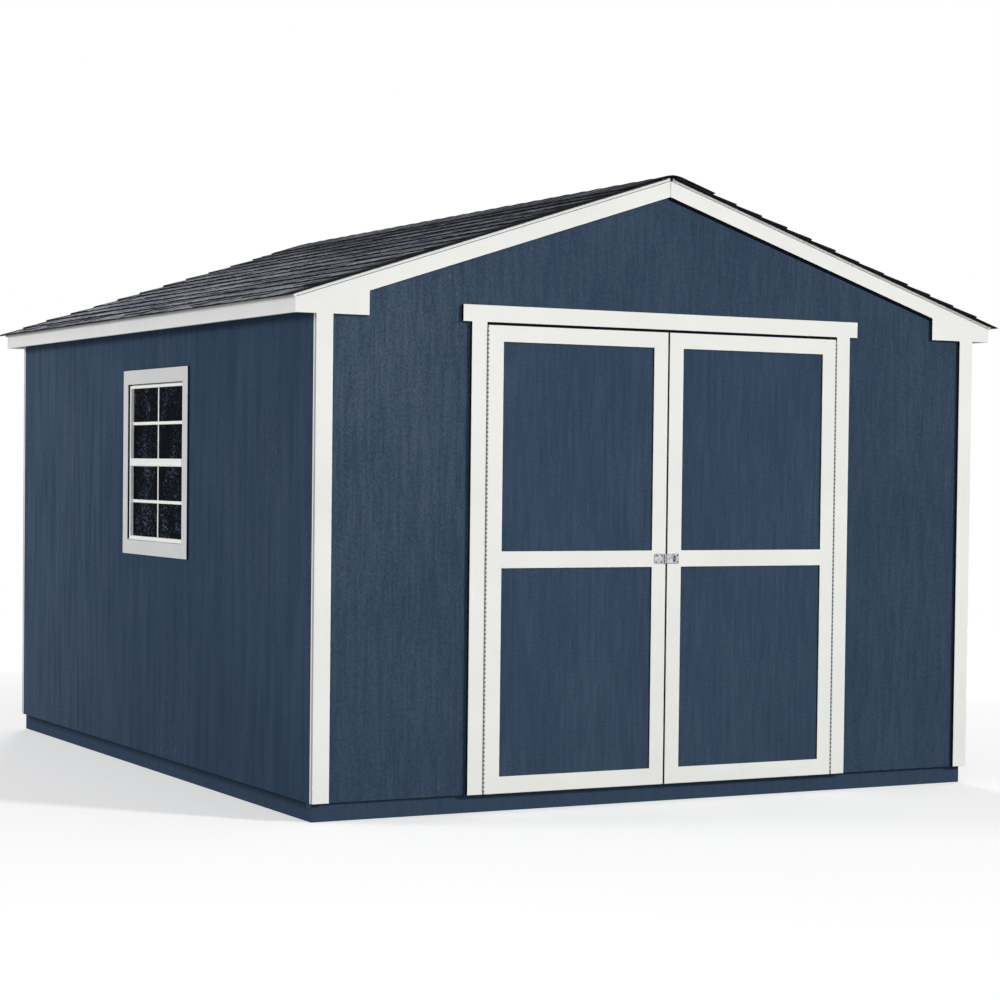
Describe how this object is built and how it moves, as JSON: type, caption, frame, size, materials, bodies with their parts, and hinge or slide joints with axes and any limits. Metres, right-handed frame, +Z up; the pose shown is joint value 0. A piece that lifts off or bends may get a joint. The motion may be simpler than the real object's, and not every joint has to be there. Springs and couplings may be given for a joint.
{
  "type": "wooden garden shed",
  "caption": "Gable-roofed wooden garden shed with navy siding, white trim, shingled roof, hinged double doors and a sash window in each side wall.",
  "frame": {"origin": "middle of the shed's footprint box, on the ground", "axes": "+Z up, the doors face -Y, +X to the right as one faces the doors"},
  "size_m": [3.3252, 3.764, 2.524],
  "materials": {
    "siding_paint": "navy blue satin paint over wood-grained siding",
    "trim_paint": "off-white satin paint over smooth trim boards",
    "framing_lumber": "bare sawn softwood",
    "floor_board": "bare plywood",
    "roof_board": "bare strand board, its outer edges painted off-white",
    "asphalt_shingle": "charcoal mineral granules on asphalt",
    "galvanized_steel": "galvanized sheet steel",
    "hinge_paint": "off-white paint on steel",
    "window_vinyl": "white moulded frame",
    "window_glass": "clear flat glass"
  },
  "bodies": {
    "root": {"floor_end_rims": "siding_paint", "floor_side_rims": "siding_paint", "floor_joists": "framing_lumber", "floor_deck": "floor_board", "side_wall_plates": "framing_lumber", "end_wall_plates": "framing_lumber", "side_wall_studs": "framing_lumber", "end_wall_studs": "framing_lumber", "opening_headers": "framing_lumber", "left_wall_siding": "siding_paint", "right_wall_siding": "siding_paint", "back_wall_siding": "siding_paint", "front_left_siding": "siding_paint", "front_right_siding": "siding_paint", "front_gable_siding": "siding_paint", "corner_boards": "trim_paint", "door_side_casings": "trim_paint", "door_head_casing": "trim_paint", "eave_fascias": "trim_paint", "eave_soffits": "trim_paint", "rake_boards": "trim_paint", "rafters": "framing_lumber", "ridge_board": "framing_lumber", "roof_sheathing": "roof_board", "left_shingles": "asphalt_shingle", "right_shingles": "asphalt_shingle", "ridge_cap": "asphalt_shingle", "jamb_hinges": "hinge_paint", "window_casings": "trim_paint", "window_frames": "window_vinyl", "window_sashes": "window_vinyl", "window_glass": "window_glass"},
    "left_door": {"left_door_panel": "siding_paint", "left_door_stiles": "trim_paint", "left_door_rails": "trim_paint", "left_door_ledges": "framing_lumber", "left_door_hinge": "hinge_paint", "hasp_plate": "galvanized_steel"},
    "right_door": {"right_door_panel": "siding_paint", "right_door_stiles": "trim_paint", "right_door_rails": "trim_paint", "right_door_ledges": "framing_lumber", "right_door_hinge": "hinge_paint", "hasp_strap": "galvanized_steel", "hasp_staple": "galvanized_steel"}
  },
  "joints": [
    {"name": "left_door_swing", "type": "hinge", "parent": "root", "child": "left_door", "pos_m": [-0.818, -1.86, 0.984], "axis": [0, 0, -1], "range_deg": [0, 170]},
    {"name": "right_door_swing", "type": "hinge", "parent": "root", "child": "right_door", "pos_m": [0.818, -1.86, 0.984], "axis": [0, 0, 1], "range_deg": [0, 170]}
  ]
}
